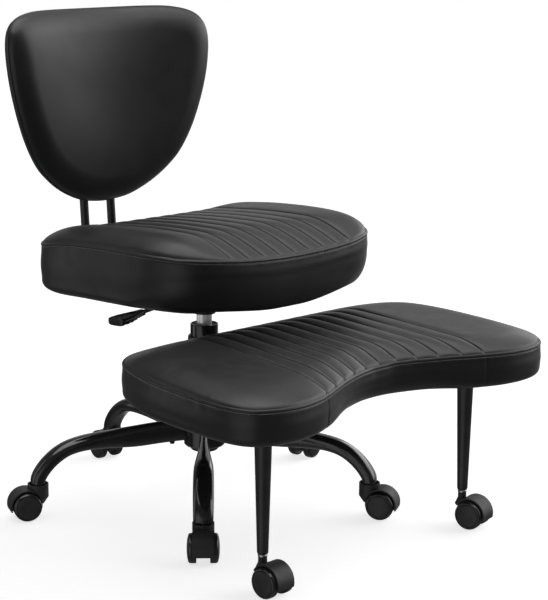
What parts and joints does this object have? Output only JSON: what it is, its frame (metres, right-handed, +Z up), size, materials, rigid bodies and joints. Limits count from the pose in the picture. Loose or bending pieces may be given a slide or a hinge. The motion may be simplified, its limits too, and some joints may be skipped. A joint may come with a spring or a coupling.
{
  "type": "office chair with footrest",
  "caption": "Armless swivel task chair on a star base with casters, padded seat and back, and a kidney-shaped padded footrest on castered legs swinging round the column.",
  "frame": {"origin": "column axis where it meets the floor", "axes": "+X to the sitter's left, the chair faces -Y, +Z up"},
  "size_m": [0.7138, 0.8732, 0.8739],
  "materials": {
    "black_leather": "soft sheen",
    "plywood": "plain",
    "black_gloss_steel": "gloss",
    "black_satin_steel": "satin",
    "chrome_steel": "polished",
    "bright_steel": "zinc plated",
    "dark_screws": "black zinc",
    "black_plastic": "matte",
    "charcoal_plastic": "matte",
    "wheel_plastic": "gloss rim, matte cap"
  },
  "bodies": {
    "base": {"base_hub": "black_gloss_steel", "base_legs": "black_gloss_steel", "base_leg_bolts": "dark_screws", "base_leg_plugs": "black_plastic", "base_caster_stems": "bright_steel", "lift_outer_tube": "black_gloss_steel", "lift_guide_bush": "black_plastic"},
    "lift_rod": {"lift_piston_rod": "bright_steel", "lift_thrust_bearing": "bright_steel", "lift_clip": "bright_steel"},
    "seat": {"lift_pressure_tube": "chrome_steel", "seat_plate": "black_satin_steel", "seat_board": "plywood", "seat_cushion": "black_leather", "seat_bolts": "dark_screws", "back_posts": "black_satin_steel", "back_bracket": "black_satin_steel", "back_bolts": "dark_screws", "back_board": "plywood", "back_rear_panel": "black_leather", "back_cushion": "black_leather"},
    "lever": {"lever_rod": "black_satin_steel", "lever_handle": "black_plastic"},
    "release_pin": {"lift_release_pin": "bright_steel"},
    "footrest": {"footrest_arm": "black_gloss_steel", "footrest_bush": "black_plastic", "footrest_board": "plywood", "footrest_cushion": "black_leather", "footrest_legs": "black_satin_steel", "footrest_leg_plates": "black_satin_steel", "footrest_screws": "dark_screws", "footrest_caster_stems": "bright_steel"},
    "base_caster_1": {"base_caster_1_hood": "charcoal_plastic", "base_caster_1_axle": "bright_steel"},
    "base_caster_1_wheel_left": {"base_caster_1_wheel_left": "wheel_plastic"},
    "base_caster_1_wheel_right": {"base_caster_1_wheel_right": "wheel_plastic"},
    "base_caster_2": {"base_caster_2_hood": "charcoal_plastic", "base_caster_2_axle": "bright_steel"},
    "base_caster_2_wheel_left": {"base_caster_2_wheel_left": "wheel_plastic"},
    "base_caster_2_wheel_right": {"base_caster_2_wheel_right": "wheel_plastic"},
    "base_caster_3": {"base_caster_3_hood": "charcoal_plastic", "base_caster_3_axle": "bright_steel"},
    "base_caster_3_wheel_left": {"base_caster_3_wheel_left": "wheel_plastic"},
    "base_caster_3_wheel_right": {"base_caster_3_wheel_right": "wheel_plastic"},
    "base_caster_4": {"base_caster_4_hood": "charcoal_plastic", "base_caster_4_axle": "bright_steel"},
    "base_caster_4_wheel_left": {"base_caster_4_wheel_left": "wheel_plastic"},
    "base_caster_4_wheel_right": {"base_caster_4_wheel_right": "wheel_plastic"},
    "base_caster_5": {"base_caster_5_hood": "charcoal_plastic", "base_caster_5_axle": "bright_steel"},
    "base_caster_5_wheel_left": {"base_caster_5_wheel_left": "wheel_plastic"},
    "base_caster_5_wheel_right": {"base_caster_5_wheel_right": "wheel_plastic"},
    "footrest_caster_left": {"footrest_caster_left_hood": "charcoal_plastic", "footrest_caster_left_axle": "bright_steel"},
    "footrest_caster_left_wheel_left": {"footrest_caster_left_wheel_left": "wheel_plastic"},
    "footrest_caster_left_wheel_right": {"footrest_caster_left_wheel_right": "wheel_plastic"},
    "footrest_caster_right": {"footrest_caster_right_hood": "charcoal_plastic", "footrest_caster_right_axle": "bright_steel"},
    "footrest_caster_right_wheel_left": {"footrest_caster_right_wheel_left": "wheel_plastic"},
    "footrest_caster_right_wheel_right": {"footrest_caster_right_wheel_right": "wheel_plastic"}
  },
  "joints": [
    {"name": "seat_swivel", "type": "hinge", "parent": "base", "child": "lift_rod", "pos_m": [0, 0, 0.1], "axis": [0, 0, 1], "continuous": true},
    {"name": "seat_lift", "type": "slide", "parent": "lift_rod", "child": "seat", "axis": [0, 0, 1], "range_m": [0, 0.1]},
    {"name": "height_lever", "type": "hinge", "parent": "seat", "child": "lever", "pos_m": [-0.05108, -0.00974, 0.38608], "axis": [-0.1874, 0.9823, 0], "range_deg": [0, 4], "stiffness_Nm_per_rad": 3},
    {"name": "release_pin", "type": "slide", "parent": "seat", "child": "release_pin", "axis": [0, 0, -1], "range_m": [0, 0.0038], "stiffness_N_per_m": 1000},
    {"name": "footrest_swivel", "type": "hinge", "parent": "base", "child": "footrest", "pos_m": [0, 0, 0.275], "axis": [0, 0, 1], "continuous": true},
    {"name": "base_caster_1_swivel", "type": "hinge", "parent": "base", "child": "base_caster_1", "pos_m": [-0.2057, -0.22877, 0.05], "axis": [0, 0, 1], "continuous": true},
    {"name": "base_caster_1_roll_left", "type": "hinge", "parent": "base_caster_1", "child": "base_caster_1_wheel_left", "pos_m": [-0.22088, -0.24565, 0.025], "axis": [0.7436, -0.6686, 0], "continuous": true},
    {"name": "base_caster_1_roll_right", "type": "hinge", "parent": "base_caster_1", "child": "base_caster_1_wheel_right", "pos_m": [-0.22088, -0.24565, 0.025], "axis": [0.7436, -0.6686, 0], "continuous": true},
    {"name": "base_caster_2_swivel", "type": "hinge", "parent": "base", "child": "base_caster_2", "pos_m": [0.15401, -0.26632, 0.05], "axis": [0, 0, 1], "continuous": true},
    {"name": "base_caster_2_roll_left", "type": "hinge", "parent": "base_caster_2", "child": "base_caster_2_wheel_left", "pos_m": [0.16537, -0.28598, 0.025], "axis": [0.8657, 0.5006, 0], "continuous": true},
    {"name": "base_caster_2_roll_right", "type": "hinge", "parent": "base_caster_2", "child": "base_caster_2_wheel_right", "pos_m": [0.16537, -0.28598, 0.025], "axis": [0.8657, 0.5006, 0], "continuous": true},
    {"name": "base_caster_3_swivel", "type": "hinge", "parent": "base", "child": "base_caster_3", "pos_m": [0.30088, 0.06417, 0.05], "axis": [0, 0, 1], "continuous": true},
    {"name": "base_caster_3_roll_left", "type": "hinge", "parent": "base_caster_3", "child": "base_caster_3_wheel_left", "pos_m": [0.32308, 0.06891, 0.025], "axis": [-0.2086, 0.978, 0], "continuous": true},
    {"name": "base_caster_3_roll_right", "type": "hinge", "parent": "base_caster_3", "child": "base_caster_3_wheel_right", "pos_m": [0.32308, 0.06891, 0.025], "axis": [-0.2086, 0.978, 0], "continuous": true},
    {"name": "base_caster_4_swivel", "type": "hinge", "parent": "base", "child": "base_caster_4", "pos_m": [0.03195, 0.30599, 0.05], "axis": [0, 0, 1], "continuous": true},
    {"name": "base_caster_4_roll_left", "type": "hinge", "parent": "base_caster_4", "child": "base_caster_4_wheel_left", "pos_m": [0.0343, 0.32856, 0.025], "axis": [-0.9946, 0.1038, 0], "continuous": true},
    {"name": "base_caster_4_roll_right", "type": "hinge", "parent": "base_caster_4", "child": "base_caster_4_wheel_right", "pos_m": [0.0343, 0.32856, 0.025], "axis": [-0.9946, 0.1038, 0], "continuous": true},
    {"name": "base_caster_5_swivel", "type": "hinge", "parent": "base", "child": "base_caster_5", "pos_m": [-0.28114, 0.12494, 0.05], "axis": [0, 0, 1], "continuous": true},
    {"name": "base_caster_5_roll_left", "type": "hinge", "parent": "base_caster_5", "child": "base_caster_5_wheel_left", "pos_m": [-0.30188, 0.13415, 0.025], "axis": [-0.4061, -0.9138, 0], "continuous": true},
    {"name": "base_caster_5_roll_right", "type": "hinge", "parent": "base_caster_5", "child": "base_caster_5_wheel_right", "pos_m": [-0.30188, 0.13415, 0.025], "axis": [-0.4061, -0.9138, 0], "continuous": true},
    {"name": "footrest_caster_left_swivel", "type": "hinge", "parent": "footrest", "child": "footrest_caster_left", "pos_m": [0.2398, -0.408, 0.05], "axis": [0, 0, 1], "continuous": true},
    {"name": "footrest_caster_left_roll_left", "type": "hinge", "parent": "footrest_caster_left", "child": "footrest_caster_left_wheel_left", "pos_m": [0.2451, -0.43007, 0.025], "axis": [0.9724, 0.2334, 0], "continuous": true},
    {"name": "footrest_caster_left_roll_right", "type": "hinge", "parent": "footrest_caster_left", "child": "footrest_caster_left_wheel_right", "pos_m": [0.2451, -0.43007, 0.025], "axis": [0.9724, 0.2334, 0], "continuous": true},
    {"name": "footrest_caster_right_swivel", "type": "hinge", "parent": "footrest", "child": "footrest_caster_right", "pos_m": [-0.2398, -0.408, 0.05], "axis": [0, 0, 1], "continuous": true},
    {"name": "footrest_caster_right_roll_left", "type": "hinge", "parent": "footrest_caster_right", "child": "footrest_caster_right_wheel_left", "pos_m": [-0.23881, -0.43068, 0.025], "axis": [0.999, 0.0436, 0], "continuous": true},
    {"name": "footrest_caster_right_roll_right", "type": "hinge", "parent": "footrest_caster_right", "child": "footrest_caster_right_wheel_right", "pos_m": [-0.23881, -0.43068, 0.025], "axis": [0.999, 0.0436, 0], "continuous": true}
  ],
  "couplings": [
    {"joint": "release_pin", "follows": "height_lever", "m_per_rad": 0.052}
  ]
}
